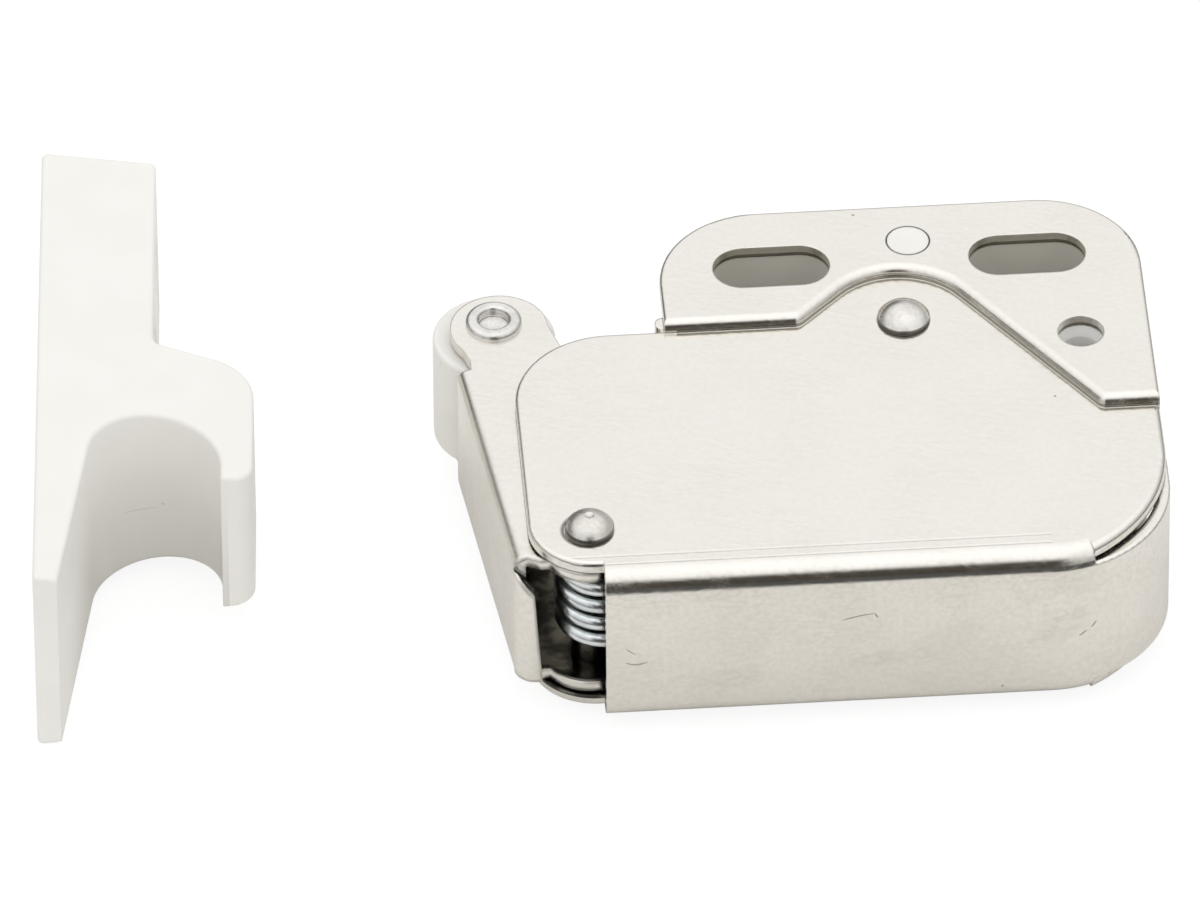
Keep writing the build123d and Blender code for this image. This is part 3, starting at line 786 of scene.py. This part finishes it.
def makeSpring():
    points = springPath()
    data = bpy.data.curves.new("springPath", "CURVE")
    data.dimensions = "3D"
    spline = data.splines.new("POLY")
    spline.points.add(len(points) - 1)
    for point, place in zip(spline.points, points):
        point.co = (*place, 1.0)
    source = bpy.data.objects.new("springPath", data)
    bpy.context.scene.collection.objects.link(source)
    source.modifiers.new("sweep", "NODES").node_group = makeSweep()
    shown = source.evaluated_get(bpy.context.evaluated_depsgraph_get())
    mesh = bpy.data.meshes.new_from_object(shown)
    bpy.data.objects.remove(source)
    spring = bpy.data.objects.new("torsionSpring", mesh)
    bpy.context.scene.collection.objects.link(spring)
    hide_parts("torsion_spring")
    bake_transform(spring)
    print("spring:", len(mesh.vertices), "points")


makeSpring()


# Turned pieces: a closed profile of (radius, height) in millimetres, spun about an upright axis
def makeTurned(name, centre, profile, sides, material, body):
    shape = bmesh.new()
    x, y = centre
    angles = [2 * math.pi * k / sides for k in range(sides)]
    rings = []
    for radius, height in profile:
        ring = [(x + radius * math.cos(a), y + radius * math.sin(a), height) for a in angles]
        rings.append([shape.verts.new([c * mm for c in point]) for point in ring])
    for first, second in zip(rings, rings[1:] + rings[:1]):
        for k in range(sides):
            after = (k + 1) % sides
            shape.faces.new((first[k], first[after], second[after], second[k]))
    bmesh.ops.remove_doubles(shape, verts=shape.verts, dist=1e-7)  # on the axis
    loose = [edge for edge in shape.edges if not edge.link_faces]
    bmesh.ops.delete(shape, geom=loose, context="EDGES")
    bmesh.ops.recalc_face_normals(shape, faces=shape.faces)
    mesh = bpy.data.meshes.new(name)
    shape.to_mesh(mesh)
    shape.free()
    mesh.shade_smooth()
    mesh.materials.append(material)
    piece = bpy.data.objects.new(name, mesh)
    bpy.context.scene.collection.objects.link(piece)
    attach(piece, body)
    return piece


# The hollow rivet's closed bottom, dished, a little way down each mouth
axleEnds = {
    "radius": 1.11,
    "depth": 0.75,
    "dish": 0.14,
    "thickness": 0.45,
    "rings": 8,
    "sides": 48,
}


def makeAxleEnds():
    v = axleEnds
    low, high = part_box("roller_axle")
    centre = ((low[0] + high[0]) / 2 / mm, (low[1] + high[1]) / 2 / mm)
    for name, level, out in (("axleEndTop", high[2] / mm, 1), ("axleEndBelow", low[2] / mm, -1)):
        level -= out * v["depth"]
        back = level - out * v["thickness"]
        profile = []
        for i in range(v["rings"] + 1):
            share = i / v["rings"]
            dish = out * v["dish"] * math.cos(share * math.pi / 2)
            profile.append((v["radius"] * share, level - dish))
        profile += [(v["radius"], back), (0.0, back)]
        makeTurned(name, centre, profile, v["sides"], axleZinc, "lever_arm")


makeAxleEnds()


# Sleeve of the round hole, coned at both mouths just inside the flanges
sleeveValues = {
    "centre": (12.3, -8.75),
    "outer": 1.8,
    "mouth": 1.72,
    "inner": 1.35,
    "cone": 0.75,
    "low": 0.93,
    "high": 14.27,
    "sides": 64,
    "sharpAngle": 12,
}


def makeSleeve():
    v = sleeveValues
    centre, sides = v["centre"], v["sides"]
    profile = [(v["outer"], v["low"]), (v["mouth"], v["low"]), (v["inner"], v["low"] + v["cone"])]
    profile += [(v["inner"], v["high"] - v["cone"]), (v["mouth"], v["high"])]
    profile += [(v["outer"], v["high"])]
    sleeve = makeTurned(
        "holeSleeve", centre, profile, sides, sleevePlastic, "housing"
    )
    sleeve.data.set_sharp_from_angle(angle=math.radians(v["sharpAngle"]))


makeSleeve()
print("turned pieces made")


# World: a light tent, white overhead and behind, with a dark gap in front where the camera looks in
tent = {
    "levels": ((0.0, 0.6), (0.5, 0.72), (0.72, 0.9), (0.83, 0.98), (1.0, 1.22)),  # height, light
    "gapLow": (-0.62, -0.5),
    "gapHigh": (0.45, 0.78),
    "gapSide": (0.92, 0.985),
    "gapDepth": 0.98,
    "bandLow": (-0.5, -0.35),
    "bandHigh": (0.28, 0.55),
    "bandDepth": 0.3,
    "sideDepth": 0.8,  # of the band behind on the left, which shows in the lever's fold
    "sideTowards": (-0.75, 0.66, 0.0),
    "sideWidth": (0.55, 0.8),
    "darkColour": (0.042, 0.035, 0.024, 1),
    "diffuseShare": 0.06,
    "diffuseGain": 1.06,
}


def tentLight(tree, z):  # brighter towards the top
    ramp = addNode(tree, "ShaderNodeValToRGB")
    plug(tree, ramp.inputs[0], mathNode(tree, "MULTIPLY_ADD", z, 0.5, 0.5))
    stops = ramp.color_ramp.elements
    levels = tent["levels"]
    for stop, (position, value) in zip((stops[0], stops[1]), (levels[0], levels[-1])):
        stop.position, stop.color = position, (value, value, value, 1)
    for position, value in levels[1:-1]:
        stops.new(position).color = (value, value, value, 1)
    return ramp.outputs[0]


def between(tree, z, low, high):  # 1 between two heights, soft at both ends
    return mathNode(tree, "MULTIPLY", remap(tree, z, *low), remap(tree, z, *high, 1.0, 0.0))


def tentDark(tree, way):  # the gap in front, and the band all round it
    x, y, z = split(tree, way)
    squares = mathNode(tree, "MULTIPLY_ADD", x, x, mathNode(tree, "MULTIPLY", y, y))
    level = mathNode(tree, "MAXIMUM", mathNode(tree, "SQRT", squares), 0.001)
    toFront = mathNode(tree, "DIVIDE", mathNode(tree, "MULTIPLY", y, -1.0), level)
    gap = remap(tree, toFront, *tent["gapSide"])
    gap = mathNode(tree, "MULTIPLY", gap, between(tree, z, tent["gapLow"], tent["gapHigh"]))
    gap = mathNode(tree, "MULTIPLY", gap, tent["gapDepth"])
    flatWay = vectorMath(tree, "NORMALIZE", vectorMath(tree, "MULTIPLY", way, (1, 1, 0)))
    side = vectorMath(tree, "DOT_PRODUCT", flatWay, tent["sideTowards"])
    side = remap(tree, side, *tent["sideWidth"], tent["bandDepth"], tent["sideDepth"])
    band = mathNode(tree, "MULTIPLY", between(tree, z, tent["bandLow"], tent["bandHigh"]), side)
    return mathNode(tree, "MAXIMUM", gap, band)


def makeWorld():
    world = bpy.data.worlds.new("tent")
    bpy.context.scene.world = world
    world.use_nodes = True
    tree = world.node_tree
    tree.nodes.clear()
    way = addNode(tree, "ShaderNodeTexCoord").outputs["Generated"]
    path = addNode(tree, "ShaderNodeLightPath")
    diffuse = path.outputs["Is Diffuse Ray"]  # what lights the object shows hardly any dark
    share = mathNode(tree, "MULTIPLY_ADD", diffuse, tent["diffuseShare"] - 1, 1.0)
    dark = mathNode(tree, "MULTIPLY", tentDark(tree, way), share)
    gain = mathNode(tree, "MULTIPLY_ADD", diffuse, tent["diffuseGain"] - 1, 1.0)
    colour = mixColour(tree, dark, tentLight(tree, split(tree, way)[2]), tent["darkColour"])
    light = addNode(tree, "ShaderNodeBackground")
    setInputs(tree, light, Color=colour, Strength=gain)
    plain = addNode(tree, "ShaderNodeBackground")
    setInputs(tree, plain, Color=(1, 1, 1, 1))
    seen = mixShader(tree, path.outputs["Is Camera Ray"], light.outputs[0], plain.outputs[0])
    plug(tree, addNode(tree, "ShaderNodeOutputWorld").inputs[0], seen)


makeWorld()


# Floor: white paper to the camera, and dark in reflections beyond a line in front of the object
floorValues = {
    "size": 0.6,
    "level": -0.02 * mm,  # just clear of the faces that rest on it
    "shown": 0.2,
    "glow": 0.86,
    "paper": (0.84, 0.83, 0.81, 1),
    "darkPaper": (0.08, 0.08, 0.08, 1),
    "centre": (-12, -8),  # of the bright paper round the object
    "bright": (64, 90),  # its radius, where it starts to darken and where it is dark
    "front": (-46, -60),
}


def makeFloor():
    v = floorValues
    bpy.ops.mesh.primitive_plane_add(size=v["size"], location=(0, 0, v["level"]))
    floor = bpy.context.object
    floor.name = "floor"
    material = bpy.data.materials.new("floorPaper")
    material.use_nodes = True
    tree = material.node_tree
    tree.nodes.clear()
    place = addNode(tree, "ShaderNodeTexCoord").outputs["Object"]
    inFront, dark = (c * mm for c in v["front"])
    bright = remap(tree, split(tree, place)[1], dark, inFront)
    centre = [c * mm for c in v["centre"]] + [0.0]
    away = vectorMath(tree, "LENGTH", vectorMath(tree, "SUBTRACT", place, centre))
    near, far = (c * mm for c in v["bright"])
    bright = mathNode(tree, "MULTIPLY", bright, remap(tree, away, near, far, 1.0, 0.0))
    path = addNode(tree, "ShaderNodeLightPath")
    bright = mathNode(tree, "MAXIMUM", bright, path.outputs["Is Diffuse Ray"])
    paper = addNode(tree, "ShaderNodeBsdfDiffuse")
    setInputs(tree, paper, Color=mixColour(tree, bright, v["darkPaper"], v["paper"]))
    shown = addNode(tree, "ShaderNodeBsdfDiffuse")
    setInputs(tree, shown, Color=(v["shown"], v["shown"], v["shown"], 1))
    glow = addNode(tree, "ShaderNodeEmission")
    setInputs(tree, glow, Color=(1, 1, 1, 1), Strength=v["glow"])
    both = addNode(tree, "ShaderNodeAddShader")
    plug(tree, both.inputs[0], shown.outputs[0])
    plug(tree, both.inputs[1], glow.outputs[0])
    seen = mixShader(tree, path.outputs["Is Camera Ray"], paper.outputs[0], both.outputs[0])
    plug(tree, addNode(tree, "ShaderNodeOutputMaterial").inputs[0], seen)
    floor.data.materials.append(material)


makeFloor()
print("light and floor set")
